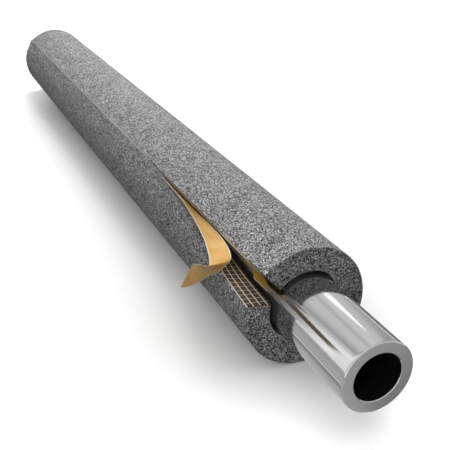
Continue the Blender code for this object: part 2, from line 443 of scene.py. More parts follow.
# The coarse grain's cells against the fine ones' size, and its share in the mix
COARSE_CELLS = 2.4
COARSE_SHARE = 0.3


def closed_cell_foam(name, dark, light, cell, relief, patch=16.667):
    """Foamed nitrile rubber, extruded: grey, full of fine cells, matt with a faint broad shine.

    Its cells are a few tenths of a millimetre, too fine to show, so they are drawn about half a millimetre
    across, with a coarser grain under them that still shows at the far end. Wide patches vary its tone.
    """
    material, tree = new_material(name)
    place_on = node(tree, "ShaderNodeTexCoord").outputs["Object"]
    fine = node(tree, "ShaderNodeTexVoronoi", {"Scale": per_metre(cell)}, {"Vector": place_on})
    coarse = node(tree, "ShaderNodeTexVoronoi", {"Scale": per_metre(COARSE_CELLS * cell)}, {"Vector": place_on})
    cloud = node(tree, "ShaderNodeTexNoise", {"Scale": per_metre(patch), "Detail": 3.0}, {"Vector": place_on})
    grain = node(tree, "ShaderNodeMix", {0: COARSE_SHARE}, {6: fine.outputs["Color"], 7: coarse.outputs["Color"]},
                 data_type="RGBA")
    parts = node(tree, "ShaderNodeSeparateColor", {}, {"Color": grain.outputs[2]})
    speck = node(tree, "ShaderNodeMapRange", {"From Min": 0.2, "From Max": 0.8},
                 {"Value": parts.outputs["Red"]})
    sharp = node(tree, "ShaderNodeMath", {1: GRAIN_CONTRAST}, {0: speck.outputs["Result"]}, operation="POWER")
    tint = node(tree, "ShaderNodeMix", {6: linear(dark), 7: linear(light)},
                {0: sharp.outputs["Value"]}, data_type="RGBA")
    tone = node(tree, "ShaderNodeMapRange", {"From Min": 0.3, "From Max": 0.7, "To Min": 0.88, "To Max": 1.12},
                {"Value": cloud.outputs["Fac"]})
    shade = node(tree, "ShaderNodeVectorMath", {}, {0: tint.outputs[2], 1: tone.outputs["Result"]},
                 operation="MULTIPLY")
    bump = node(tree, "ShaderNodeBump", {"Strength": relief, "Distance": 0.4 * MM},
                {"Height": parts.outputs["Green"]})
    shader = node(tree, "ShaderNodeBsdfPrincipled", {"Roughness": 0.62, "Specular IOR Level": 0.1, "IOR": 1.5},
                  {"Base Color": shade.outputs["Vector"], "Normal": bump.outputs["Normal"]})
    node(tree, "ShaderNodeOutputMaterial", {}, {"Surface": shader.outputs["BSDF"]})
    return material


def drawn_steel(line_width=0.64103, line_length=111.11):
    """Cold drawn steel, polished along its length: a clear mirror with fine lengthwise lines.

    Real polishing lines are hundredths of a millimetre wide, too fine to show, so they are drawn coarser.
    """
    material, tree = new_material("drawn_polished_steel")
    place_on = node(tree, "ShaderNodeTexCoord").outputs["Object"]
    spread = (per_metre(line_length), per_metre(line_width), per_metre(line_width))
    stretch = node(tree, "ShaderNodeMapping", {"Scale": spread}, {"Vector": place_on})
    lines = node(tree, "ShaderNodeTexNoise", {"Scale": 1.0, "Detail": 3.0}, {"Vector": stretch.outputs["Vector"]})
    gloss = node(tree, "ShaderNodeMapRange", {"From Min": 0.3, "From Max": 0.7, "To Min": 0.08, "To Max": 0.13},
                 {"Value": lines.outputs["Fac"]})
    bump = node(tree, "ShaderNodeBump", {"Strength": 0.03, "Distance": 0.05 * MM},
                {"Height": lines.outputs["Fac"]})
    shader = node(tree, "ShaderNodeBsdfPrincipled", {"Base Color": linear("#C5C5C5"), "Metallic": 1.0},
                  {"Roughness": gloss.outputs["Result"], "Normal": bump.outputs["Normal"]})
    node(tree, "ShaderNodeOutputMaterial", {}, {"Surface": shader.outputs["BSDF"]})
    return material


def faced_steel(mark_spacing=0.4):
    """Steel faced on a lathe: round tool marks about the axis, which spread the shine.

    A fine cut leaves its marks about 0.1 mm apart, too fine to show, so they are drawn coarser.
    """
    material, tree = new_material("faced_steel")
    place_on = node(tree, "ShaderNodeTexCoord").outputs["Object"]
    centre = node(tree, "ShaderNodeMapping", {"Location": (0.0, -AXIS_Y * MM, -AXIS_Z * MM)},
                  {"Vector": place_on})
    parts = node(tree, "ShaderNodeSeparateXYZ", {}, {"Vector": centre.outputs["Vector"]})
    flat = node(tree, "ShaderNodeCombineXYZ", {}, {"Y": parts.outputs["Y"], "Z": parts.outputs["Z"]})
    reach = node(tree, "ShaderNodeVectorMath", {}, {0: flat.outputs["Vector"]}, operation="LENGTH")
    marks = node(tree, "ShaderNodeTexNoise", {"Scale": per_metre(mark_spacing), "Detail": 2.0},
                 {"W": reach.outputs["Value"]}, noise_dimensions="1D")
    gloss = node(tree, "ShaderNodeMapRange", {"To Min": 0.42, "To Max": 0.58}, {"Value": marks.outputs["Fac"]})
    bump = node(tree, "ShaderNodeBump", {"Strength": 0.1, "Distance": 0.05 * MM},
                {"Height": marks.outputs["Fac"]})
    shader = node(tree, "ShaderNodeBsdfPrincipled", {"Base Color": linear("#B6B6B6"), "Metallic": 1.0},
                  {"Roughness": gloss.outputs["Result"], "Normal": bump.outputs["Normal"]})
    node(tree, "ShaderNodeOutputMaterial", {}, {"Surface": shader.outputs["BSDF"]})
    return material


def mill_scale(flake=3.3333):
    """Hot rolled bore with its mill scale left on: nearly black, rough, hardly shiny."""
    material, tree = new_material("mill_scale")
    place_on = node(tree, "ShaderNodeTexCoord").outputs["Object"]
    crust = node(tree, "ShaderNodeTexNoise", {"Scale": per_metre(flake), "Detail": 4.0}, {"Vector": place_on})
    tint = node(tree, "ShaderNodeMix", {6: linear("#060606"), 7: linear("#121110")},
                {0: crust.outputs["Fac"]}, data_type="RGBA")
    shader = node(tree, "ShaderNodeBsdfPrincipled", {"Roughness": 0.8, "Specular IOR Level": 0.1},
                  {"Base Color": tint.outputs[2]})
    node(tree, "ShaderNodeOutputMaterial", {}, {"Surface": shader.outputs["BSDF"]})
    return material


def adhesive_film(ripple_width=3.8462):
    """Coated acrylic adhesive over the dark foam: brown, glassy where it is thick, rippled by the coater."""
    material, tree = new_material("acrylic_adhesive")
    place_on = node(tree, "ShaderNodeTexCoord").outputs["Object"]
    ripple = node(tree, "ShaderNodeTexNoise", {"Scale": per_metre(ripple_width), "Detail": 3.0},
                  {"Vector": place_on})
    tint = node(tree, "ShaderNodeMix", {6: linear("#2C241E"), 7: linear("#5A4E40")},
                {0: ripple.outputs["Fac"]}, data_type="RGBA")
    bump = node(tree, "ShaderNodeBump", {"Strength": 0.25, "Distance": 0.3 * MM},
                {"Height": ripple.outputs["Fac"]})
    shader = node(tree, "ShaderNodeBsdfPrincipled", {"Roughness": 0.35, "IOR": 1.47},
                  {"Base Color": tint.outputs[2], "Normal": bump.outputs["Normal"]})
    node(tree, "ShaderNodeOutputMaterial", {}, {"Surface": shader.outputs["BSDF"]})
    return material


def glass_thread(name, colour, twist_length=1.1111):
    """Spun glass yarn under the adhesive: pale, silky, twisted along its length."""
    material, tree = new_material(name)
    place_on = node(tree, "ShaderNodeTexCoord").outputs["Object"]
    twist = node(tree, "ShaderNodeTexNoise", {"Scale": per_metre(twist_length), "Detail": 2.0},
                 {"Vector": place_on})
    bump = node(tree, "ShaderNodeBump", {"Strength": 0.3, "Distance": 0.2 * MM}, {"Height": twist.outputs["Fac"]})
    shader = node(tree, "ShaderNodeBsdfPrincipled", {"Base Color": linear(colour), "Roughness": 0.45},
                  {"Normal": bump.outputs["Normal"]})
    node(tree, "ShaderNodeOutputMaterial", {}, {"Surface": shader.outputs["BSDF"]})
    return material


# Painted shade on a liner: the run over which it clears, and how much of the colour it leaves at its darkest
SHADE_RUN = 90.0
SHADE_LEAVES = 0.42


def siliconised_paper(name, low, high, shade_end, fibre=1.4286, patch=16.667):
    """Glassine paper coated with silicone: golden, smooth, with fine fibres and a soft satin shine.

    It is darker and browner, a painted shade, from the start of its length up to a place along it in mm. It is
    cream along its margins, partly where the cut shows its core and partly as a painted highlight. Paper fibres
    are too fine to show, so they are drawn over a millimetre long.
    """
    material, tree = new_material(name)
    place_on = node(tree, "ShaderNodeTexCoord").outputs["Object"]
    fibres = node(tree, "ShaderNodeTexNoise", {"Scale": per_metre(fibre), "Detail": 4.0, "Roughness": 0.6},
                  {"Vector": place_on})
    cloud = node(tree, "ShaderNodeTexNoise", {"Scale": per_metre(patch), "Detail": 2.0}, {"Vector": place_on})
    blend = node(tree, "ShaderNodeMath", {}, {0: fibres.outputs["Fac"], 1: cloud.outputs["Fac"]},
                 operation="MULTIPLY")
    spread = node(tree, "ShaderNodeMapRange", {"From Min": 0.15, "From Max": 0.4},
                  {"Value": blend.outputs["Value"]})
    tint = node(tree, "ShaderNodeMix", {6: linear(low), 7: linear(high)},
                {0: spread.outputs["Result"]}, data_type="RGBA")
    spot = node(tree, "ShaderNodeSeparateXYZ", {}, {"Vector": node(tree, "ShaderNodeUVMap").outputs["UV"]})
    # Cream margins: partly the cut's paler core, partly a painted highlight along the edge
    margin = node(tree, "ShaderNodeMapRange", {"From Min": 0.6, "From Max": 1.0, "To Min": 1.0, "To Max": 0.0},
                  {"Value": spot.outputs["Y"]})
    # Painted shade: the colour is darkened from the start of the strip up to the given place along it
    painted_shade = node(tree, "ShaderNodeMapRange",
                {"From Min": shade_end - SHADE_RUN, "From Max": shade_end, "To Min": SHADE_LEAVES},
                {"Value": spot.outputs["X"]})
    shaded = node(tree, "ShaderNodeVectorMath", {}, {0: tint.outputs[2], 1: painted_shade.outputs["Result"]},
                operation="MULTIPLY")
    edged = node(tree, "ShaderNodeMix", {7: linear("#F0E9DA")},
                 {0: margin.outputs["Result"], 6: shaded.outputs["Vector"]}, data_type="RGBA")
    bump = node(tree, "ShaderNodeBump", {"Strength": 0.08, "Distance": 0.2 * MM},
                {"Height": fibres.outputs["Fac"]})
    shader = node(tree, "ShaderNodeBsdfPrincipled", {"Roughness": 0.42, "Specular IOR Level": 0.25, "IOR": 1.45},
                  {"Base Color": edged.outputs[2], "Normal": bump.outputs["Normal"]})
    node(tree, "ShaderNodeOutputMaterial", {}, {"Surface": shader.outputs["BSDF"]})
    return material


# The bore has a smoother skin, pressed by the core of the die; its paler tone is painted light, so that it shows
# in the deep shade beside the pipe
foam_skin = closed_cell_foam("nitrile_foam_skin", "#000000", "#FFFFFF", cell=0.46, relief=0.25)
foam_cut = closed_cell_foam("nitrile_foam_cut", "#060606", "#FFFFFF", cell=0.46, relief=0.2)
foam_bore = closed_cell_foam("nitrile_foam_bore_skin_painted_light", "#8C8C8C", "#C4C4C4", cell=0.5, relief=0.1)
steel = drawn_steel()
steel_face = faced_steel()
scale_bore = mill_scale()
adhesive = adhesive_film()
long_yarn = glass_thread("glass_yarn_warp", "#FFFAF0")
cross_yarn = glass_thread("glass_yarn_weft", "#E4D8C0")

# Painted shade on the liners: the lower liner's ends just short of the bend, the upper liner's over its free end
paper = siliconised_paper("siliconised_glassine", "#DFA855", "#F6C67A", shade_end=945.0)
# The back is a paler, yellower gold than the face: partly its own colour, partly painted light for the underside
# of the peeled liner
paper_back = siliconised_paper("glassine_back", "#F4BE4A", "#FFD668", shade_end=90.0)


# Pieces

def make_foam():
    """Sleeve lofted through its outlines, with its rims rounded by a quarter turn and its ends closed."""
    quarter = np.linspace(math.pi / 2, 0, QUARTER_POINTS)
    rim_back = RIM_ROUND - RIM_ROUND * np.sin(quarter)
    rim_inset = RIM_ROUND - RIM_ROUND * np.cos(quarter)
    between_rims = np.concatenate([
        np.linspace(2 * RIM_ROUND, OPENING_LENGTH, OPEN_SECTIONS),
        np.linspace(*SHUT_REACH, SHUT_SECTIONS),
        [FOAM_LENGTH - 2 * RIM_ROUND],
    ])
    back = np.concatenate([rim_back, between_rims, FOAM_LENGTH - rim_back[::-1]])
    cut = np.concatenate([rim_inset, np.zeros(len(between_rims)), rim_inset[::-1]])
    sections = inset(outline(back), cut)
    rows, columns = sections.shape[:2]
    x = np.broadcast_to(-back[:, None, None], (rows, columns, 1))
    points = place(np.concatenate([x, sections], axis=-1)).reshape(-1, 3)
    quads = closed_loft(rows, columns)
    half = columns // 2
    run = FACE_POINTS + ROUND_POINTS - 2
    column = np.tile(np.arange(columns), rows - 1)
    on_face = (column < run) | (column >= columns - run)
    on_face |= (column >= half - run) & (column < half + run - 1)
    in_bore = (column >= half + run - 1) & (column < columns - run)
    side_slots = np.select([on_face, in_bore], [CUT, BORE], SKIN)
    slots = np.concatenate([side_slots, np.full(len(quads) - len(column), CUT)])
    return make_mesh("foam_sleeve_skin", points, quads, [foam_skin, foam_cut, foam_bore], slots)


def make_pipe(sides=192, beside_rim=2.0, inside_rim=0.3, close=0.02, clear_of_bore=0.1):
    """Tube turned from its section: four rims, each a quarter circle of the rim's rounding.

    A point close by on each side of a rim keeps its shading off the long walls and off the end faces.
    """
    quarter = np.linspace(0.0, math.pi / 2, QUARTER_POINTS)
    r = PIPE_ROUND
    rise = np.column_stack([np.sin(quarter), np.cos(quarter)])
    near = PIPE_PROJECTION
    far = -FOAM_LENGTH
    outer_near = np.array([near - r, PIPE_RADIUS - r]) + r * rise
    inner_near = np.array([near - r, PIPE_BORE_RADIUS + r]) + r * rise[::-1] * (1, -1)
    inner_far = np.array([far + r, PIPE_BORE_RADIUS + r]) - r * rise
    outer_far = np.array([far + r, PIPE_RADIUS - r]) + r * rise[::-1] * (-1, 1)
    near_wall = near - r - beside_rim
    far_wall = far + r + beside_rim
    face_top = PIPE_RADIUS - r - inside_rim
    face_foot = PIPE_BORE_RADIUS + r + inside_rim
    profile = np.concatenate([
        [(near_wall, PIPE_RADIUS)],
        outer_near,
        [(near, face_top), (near, face_foot)],
        inner_near,
        [(near_wall, PIPE_BORE_RADIUS), (far_wall, PIPE_BORE_RADIUS)],
        inner_far,
        [(far, face_foot), (far, face_top)],
        outer_far,
        [(far_wall, PIPE_RADIUS)],
    ])
    turn = np.arange(sides) * 2 * math.pi / sides
    x = np.broadcast_to(profile[:, :1], (len(profile), sides))
    points = np.stack([x, profile[:, 1:] * np.cos(turn), profile[:, 1:] * np.sin(turn)], axis=-1)
    quads = quads_over(len(profile), sides, wrap_rows=True, wrap_columns=True)
    middle = (profile + np.roll(profile, -1, axis=0)) / 2
    on_end = (np.abs(middle[:, 0] - near) < close) | (np.abs(middle[:, 0] - far) < close)
    in_bore = middle[:, 1] < PIPE_BORE_RADIUS + clear_of_bore
    slots = np.repeat(np.select([on_end, in_bore], [FACED, SCALED], DRAWN), sides)
    return make_mesh("pipe_turned", place(points).reshape(-1, 3), quads, [steel, steel_face, scale_bore], slots)


def lengths_along(points, axis):
    """Running length of the lines through a grid of points along one of its axes, from 0."""
    steps = np.linalg.norm(np.diff(points, axis=axis), axis=-1)
    return np.concatenate([np.zeros_like(steps.take([0], axis=axis)), np.cumsum(steps, axis=axis)], axis=axis)


def ribbon(name, middle, thickness, *materials):
    """Thin closed strip: the grid of its middle surface moved half the thickness to each side.

    The normal is the cross product of the way across and the way along. The UV map holds millimetres:
    U along the strip, V from the nearer margin. A second material goes on the face against the normal.
    """
    normal = unit(np.cross(np.gradient(middle, axis=1), np.gradient(middle, axis=0)))
    face = middle + normal * thickness / 2
    back_face = middle - normal * thickness / 2
    loop = np.concatenate([face, back_face[:, ::-1]], axis=1)
    rows, columns = loop.shape[:2]
    quads = closed_loft(rows, columns)
    run = lengths_along(middle, 0)
    rise = lengths_along(middle, 1)
    nearer = np.minimum(rise, rise[:, -1:] - rise)
    uvs = np.stack([run, nearer], axis=-1)
    uvs = np.concatenate([uvs, uvs[:, ::-1]], axis=1).reshape(-1, 2)
    behind = np.tile(np.arange(columns) >= columns // 2, rows - 1)
    slots = np.concatenate([behind * (len(materials) - 1), np.zeros(len(quads) - len(behind))])
    made = make_mesh(name, place(loop).reshape(-1, 3), quads, materials, slots, uvs)
    made.data.set_sharp_from_angle(angle=math.radians(RIBBON_SHARP))
    return made


def on_lower_face(back, along, off):
    """Points on the lower cut face: a distance along it from the root, and one off it into the slit."""
    root, edge = lower_face(back)
    run = unit(edge - root)
    off_way = np.stack([run[:, 1], -run[:, 0]], axis=-1)
    section = root + run * along + off_way * off
    return np.column_stack([-back, section])


def on_upper_face(along, off):
    """Point (y, z) on the upper cut face: a distance along it from the root, and one off it into the slit."""
    return UPPER_FACE[0] + SLIT_ALONG * along + SLIT_ACROSS * off


def tape_margins(back, off):
    """Both margins of the lower tape, a distance off the cut face: each is the tape's margin in from its end."""
    root, edge = lower_face(back)
    width = np.linalg.norm(edge - root, axis=-1, keepdims=True)
    return on_lower_face(back, TAPE_MARGIN, off), on_lower_face(back, width - TAPE_MARGIN, off)


def places_along(first, last, second=3.0, near_count=70, far_count=15):
    """Distances behind the near end for a strip's cross-sections: close over the opening, then wide apart."""
    near = np.linspace(second, OPENING_LENGTH, near_count)
    return np.concatenate([[first], near, np.linspace(PEEL_START, last, far_count)])


def make_tape_lower():
    """Film of adhesive on the lower cut face, from margin to margin."""
    low, high = tape_margins(places_along(GAP, FOAM_LENGTH - GAP), GAP + TAPE_THICKNESS / 2)
    return ribbon("tape_film_lower", line(low, high, count=9), TAPE_THICKNESS, adhesive)


def make_threads():
    """Net of yarn on the lower tape: long threads side by side, and a cross thread at every pitch.

    A long thread is a flat strip, and a cross thread is a low block of eight corners from margin to margin.
    """
    made = []
    film_top = GAP + TAPE_THICKNESS
    middle_off = film_top + THREAD_THICKNESS / 2
    back = places_along(2 * GAP, FOAM_LENGTH - 1)
    for number, along in enumerate(LONG_THREADS):
        low = on_lower_face(back, along - THREAD_WIDTH / 2, middle_off)
        high = on_lower_face(back, along + THREAD_WIDTH / 2, middle_off)
        grid = line(low, high, count=3)
        made.append(ribbon(f"tape_thread_long_{number}", grid, THREAD_THICKNESS, long_yarn))
    points = []
    quads = []
    side = THREAD_WIDTH * CROSS_SHARE / 2
    for number, middle in enumerate(np.arange(THREAD_PITCH, OPENING_LENGTH, THREAD_PITCH)):
        sides = np.array([middle - side, middle + side])
        low, high = tape_margins(sides, middle_off - CROSS_DROP)
        foot_low, foot_high = tape_margins(sides, film_top)
        points.append(np.concatenate([low, high[::-1], foot_low, foot_high[::-1]]))
        quads.append(BLOCK_FACES + 8 * number)
    cross = make_mesh("tape_threads_cross", place(np.concatenate(points)), np.concatenate(quads), [cross_yarn])
    cross.data.set_sharp_from_angle(angle=math.radians(BLOCK_SHARP))
    return [*made, cross]


def curve_through(points):
    """Catmull-Rom curve: each span is a cubic whose end slopes are half the step between its neighbours."""
    points = np.asarray(points, dtype=float)
    padded = np.concatenate([[2 * points[0] - points[1]], points, [2 * points[-1] - points[-2]]])
    t = (np.arange(CURVE_STEPS) / CURVE_STEPS)[None, :, None]
    a, b, c, d = (padded[k:len(points) - 1 + k, None] for k in range(4))
    spans = (2 * b + (c - a) * t + (2 * a - 5 * b + 4 * c - d) * t ** 2 + (3 * b - 3 * c + d - a) * t ** 3) / 2
    return np.concatenate([spans.reshape(-1, 3), points[-1:]])


def make_liner_lower():
    """Peeled liner: its margins are smooth curves through the places given, with a strip between them.

    In the shut slit it lies beyond the upper tape and the upper liner, a gap from each.
    """
    off = 3 * GAP + TAPE_THICKNESS + 1.5 * LINER_THICKNESS
    inner = on_upper_face(LINER_MARGIN, off)
    outer = on_upper_face(LINER_MARGIN + LINER_WIDTH, off)
    in_slit = (FOAM_LENGTH - GAP, SLIT_MIDDLE, PEEL_START)
    peeled_inner, peeled_outer = zip(*PEEL)
    low = curve_through([(-back, *inner) for back in in_slit] + list(peeled_inner))
    high = curve_through([(-back, *outer) for back in in_slit] + list(peeled_outer))
    made = ribbon("liner_paper_lower", line(low, high, count=25), LINER_THICKNESS, paper, paper_back)
    length = float(np.linalg.norm(np.diff((low + high) / 2, axis=0), axis=1).sum())
    return made, length


# Upper liner: (off the upper face, along it) of its outer margin, tucked in, at the lip and turned over it
MARGIN_IN = ((1.15, 21.6), (1.15, 21.9), (1.15, 22.1), (1.15, 22.2), (1.15, 22.3), (1.15, 22.4))
MARGIN_LIP = ((1.2, 21.9), (1.35, 22.5), (1.4, 23.0), (1.25, 23.5), (0.95, 23.95), (0.6, 24.35))
MARGIN_OVER = ((1.12, 22.2), (0.85, 23.2), (0.5, 24.0), (0.2, 24.5), (0.0, 24.7), (-0.25, 24.75))
LINER_FLAT = (1.15, 21.2)
UPPER_LINER_END = 9.0

# Where the margin is at the lip and where it is turned over it, each with the length that it eases over
LIP_FROM = 26.0
LIP_FADE_IN = 10.0
LIP_TO = 98.0
LIP_FADE_OUT = 14.0
TURNED_FROM = 284.0
TURNED_FADE_IN = 26.0

# Its inner margin comes off the tape towards the free end: (distance from the near end, lift)
INNER_LIFT = (
    (9.0, 7.4), (35.0, 8.4), (37.0, 7.4), (39.6, 3.5), (42.0, 3.4), (59.0, 3.9), (72.0, 2.4), (90.0, 0.0),
)
LIFT_POWER = 2.2

# Its cross-sections, as runs of (from, to, how many): closest where the lift changes fast
UPPER_LINER_RUNS = ((UPPER_LINER_END, 34, 26), (34.5, 42, 16), (43, 96, 50), (100, 320, 50), (340, 999.7, 40))


def make_liner_upper(columns=17):
    """Liner in place on the upper tape, its outer margin seen at the lip and its free end lifting off the tape.

    The inner part is off the tape by the inner margin's lift times a power of the way in from the outer margin.
    The margin goes from tucked in to its shown forms in straight lines, by an ease along the liner.
    """
    back = np.concatenate([np.linspace(*run) for run in UPPER_LINER_RUNS])
    lift = np.interp(back, *zip(*INNER_LIFT))[:, None]
    inward = np.linspace(1.0, 0.0, columns)[None, :]
    off = LINER_FLAT[0] + lift * inward ** LIFT_POWER
    along = LINER_FLAT[1] - np.sqrt((LINER_FLAT[1] - LINER_MARGIN) ** 2 - lift ** 2) * inward
    at_lip = smooth((LIP_TO - back) / LIP_FADE_OUT) * smooth((back - LIP_FROM) / LIP_FADE_IN)
    turned = smooth((back - TURNED_FROM) / TURNED_FADE_IN)
    tucked = np.array(MARGIN_IN)[None]
    margin = tucked + (np.array(MARGIN_LIP)[None] - tucked) * at_lip[:, None, None]
    margin = margin + (np.array(MARGIN_OVER)[None] - tucked) * turned[:, None, None]
    off = np.concatenate([off, margin[..., 0]], axis=1)[..., None]
    along = np.concatenate([along, margin[..., 1]], axis=1)[..., None]
    section = on_upper_face(along, off)
    x = np.broadcast_to(-back[:, None, None], (*section.shape[:2], 1))
    middle = np.concatenate([x, section], axis=-1)
    width = float(lengths_along(middle[-1:], 1).max())
    return ribbon("liner_paper_upper", middle, LINER_THICKNESS, paper_back), width


foam = make_foam()
pipe = make_pipe()
tape_lower = make_tape_lower()
threads = make_threads()
liner_lower, liner_length = make_liner_lower()
liner_upper, liner_upper_width = make_liner_upper()

for piece, slot_name, node_name in (
    (foam, "elastomeric_foam", "foam_sleeve"),
    (pipe, "polished_steel", "steel_pipe"),
    (tape_lower, "reinforced_tape", "adhesive_tape_lower"),
    (liner_lower, "siliconised_paper", "release_liner_lower"),
    (liner_upper, "siliconised_paper", "release_liner_upper"),
):
    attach(piece, "root")
    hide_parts(node_name)
for thread in threads:
    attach(thread, "root")
for tape_finish in bpy.data.objects["adhesive_tape_upper"].material_slots:
    tape_finish.material = adhesive


# Floor, light and camera

# Half the floor's side, in metres
FLOOR_HALF = 9.0

# The floor's own light, a painted light, goes by the distance in metres from a line under the sleeve and leaves
# a painted shadow near the part: the line's half length, where the light starts and where it is full, and its
# strength there
GLOW_LINE_HALF = 0.29
GLOW_FROM = 0.075
GLOW_FULL = 0.47
GLOW_STRENGTH = 0.85

# Strength of the white sky: for shading from below and from above, in mirror images and to the camera.
# The first goes over to the second within this height of a unit way on both sides of the horizon.
SKY_BELOW = 0.13
SKY_ABOVE = 0.1
SKY_MIRRORED = 0.85
SKY_SEEN = 1.0
HORIZON = 0.1


def make_floor():
    """Pale studio floor, so wide that no view finds its edge.

    Its glow is painted light, a smooth step of the distance from the line, so the floor turns white away from the
    part and its shade near the part is deepened. It sends no light back onto the part, because the lower half of
    the sky does that.
    """
    corners = FLOOR_HALF * np.array([(-1.0, -1.0, 0.0), (1.0, -1.0, 0.0), (1.0, 1.0, 0.0), (-1.0, 1.0, 0.0)])
    material, tree = new_material("studio_floor")
    spot = node(tree, "ShaderNodeSeparateXYZ", {}, {"Vector": node(tree, "ShaderNodeTexCoord").outputs["Object"]})
    reach = node(tree, "ShaderNodeMath", {}, {0: spot.outputs["X"]}, operation="ABSOLUTE")
    beyond = node(tree, "ShaderNodeMath", {1: GLOW_LINE_HALF}, {0: reach.outputs["Value"]}, operation="SUBTRACT")
    past_end = node(tree, "ShaderNodeMath", {1: 0.0}, {0: beyond.outputs["Value"]}, operation="MAXIMUM")
    away = node(tree, "ShaderNodeCombineXYZ", {}, {"X": past_end.outputs["Value"], "Y": spot.outputs["Y"]})
    distance = node(tree, "ShaderNodeVectorMath", {}, {0: away.outputs["Vector"]}, operation="LENGTH")
    glow = node(tree, "ShaderNodeMapRange",
                {"From Min": GLOW_FROM, "From Max": GLOW_FULL, "To Max": GLOW_STRENGTH},
                {"Value": distance.outputs["Value"]}, interpolation_type="SMOOTHSTEP")
    lit = node(tree, "ShaderNodeEmission", {"Color": linear("#FFFFFF")}, {"Strength": glow.outputs["Result"]})
    matt = node(tree, "ShaderNodeBsdfDiffuse", {"Color": linear("#FDFDFD")})
    both = node(tree, "ShaderNodeAddShader", {}, {0: matt.outputs["BSDF"], 1: lit.outputs["Emission"]})
    node(tree, "ShaderNodeOutputMaterial", {}, {"Surface": both.outputs["Shader"]})
    floor = make_mesh("studio_floor", corners, np.arange(4)[None], [material])
    floor.visible_diffuse = False


def make_sky():
    """White world, with a strength of its own for shading, for mirror images and for the camera.

    For shading it goes in a straight line from the strength below to the one above, across the horizon.
    """
    world = bpy.data.worlds.new("studio")
    world.use_nodes = True
    bpy.context.scene.world = world
    sky = world.node_tree
    sky.nodes.clear()
    white = linear("#FFFFFF")
    ray = node(sky, "ShaderNodeLightPath")
    way = node(sky, "ShaderNodeSeparateXYZ", {}, {"Vector": node(sky, "ShaderNodeTexCoord").outputs["Generated"]})
    bounce = node(sky, "ShaderNodeMapRange",
                  {"From Min": -HORIZON, "From Max": HORIZON, "To Min": SKY_BELOW, "To Max": SKY_ABOVE},
                  {"Value": way.outputs["Z"]})
    dim = node(sky, "ShaderNodeBackground", {"Color": white}, {"Strength": bounce.outputs["Result"]})
    bright = node(sky, "ShaderNodeBackground", {"Color": white, "Strength": SKY_MIRRORED})
    unseen = node(sky, "ShaderNodeMixShader", {}, {
        0: ray.outputs["Is Glossy Ray"], 1: dim.outputs["Background"], 2: bright.outputs["Background"]})
    backdrop = node(sky, "ShaderNodeBackground", {"Color": white, "Strength": SKY_SEEN})
    whole = node(sky, "ShaderNodeMixShader", {}, {
        0: ray.outputs["Is Camera Ray"], 1: unseen.outputs["Shader"], 2: backdrop.outputs["Background"]})
    node(sky, "ShaderNodeOutputWorld", {}, {"Surface": whole.outputs["Shader"]})


def soft_box(name, at, aim, size, power):
    """Rectangular soft light at a place in metres, turned towards a point and kept out of mirror images."""
    data = bpy.data.lights.new(name, "AREA")
    data.shape = "RECTANGLE"
    data.size, data.size_y = size
    data.energy = power
    light = bpy.data.objects.new(name, data)
    bpy.context.scene.collection.objects.link(light)
    light.location = at
    way = np.array(aim) - np.array(at)
    yaw = math.atan2(way[1], way[0])
    pitch = math.atan2(way[2], math.hypot(way[0], way[1]))
    light.rotation_euler = (math.pi / 2 + pitch, 0.0, yaw - math.pi / 2)
    light.visible_glossy = False


# Studio panels mirrored in the pipe, seen by shiny surfaces only: (compass angle in degrees, brightness)
WALL_PANELS = (
    (0, 0.85), (60, 0.6), (75, 0.95), (110, 0.8), (120, 0.45), (130, 0.5), (134, 0.62), (136.5, 0.8),
    (142, 0.86), (160, 0.97), (167, 0.9), (172, 0.74), (178, 0.74), (184, 0.9), (200, 0.88), (206, 0.76),
    (209, 0.72), (213, 0.52), (215.2, 0.5), (217, 0.84), (220.5, 0.82), (222, 1.35), (224, 1.35), (240, 0.9),
    (262, 0.8), (268, 0.3), (276, 0.85), (320, 0.95), (360, 0.85),
)
WALL_RADIUS = 3500.0
WALL_HEIGHT = 6000.0

# Glowing cards near the pipe that paint streaks into its mirror image, corners in order round each: a white
# wedge, a painted highlight, and at its left a brown, a grey and a dark one, painted reflections
WEDGE_CARD = ((-186, 87, 218), (-184, 153, 177), (-104, 128, 202), (-105, 114, 210))
BROWN_CARD = ((-222, -226, 68), (-112, -226, 70), (-112, -226, 118), (-222, -226, 128))
BAND_CARD = ((-222, -226, 12), (-100, -226, 12), (-100, -226, 66), (-222, -226, 66))
DARK_CARD = ((-480, -226, 12), (-222, -226, 12), (-222, -226, 180), (-480, -226, 180))

# Dim card over the floor right of the pipe, which darkens the pipe's right edge
FLOOR_DUSK = ((-1600, 8, -56), (300, 8, -56), (300, 900, -56), (-1600, 900, -56))

# Painted reflection of the floor left of the pipe, a glowing sheet mirrored in the pipe's lower side: (mm out
# from the axis, brightness)
FLOOR_REFLECTION = (
    (0, 0.56), (20, 0.58), (30, 0.58), (42, 0.58), (56, 0.58), (73, 0.40), (79.5, 0.36), (81, 0.12),
    (83, 0.14), (87, 0.55), (93, 1.15), (96, 1.0), (100, 0.56), (149, 0.64), (276, 0.52), (500, 0.6),
    (993, 0.75), (1100, 0.9),
)
FLOOR_REFLECTION_FROM = -1600.0
FLOOR_REFLECTION_TO = 300.0
FLOOR_REFLECTION_OFF_FLOOR = 0.4

# U and V at the corners of a flat sheet, two rows of two
CARD_UVS = np.array([[(0.0, 0.0), (1.0, 0.0)], [(0.0, 1.0), (1.0, 1.0)]])

# A ramp holds greys up to 1, so they are divided by this there, and the glow is as many times as strong
RAMP_TOP = 2.0


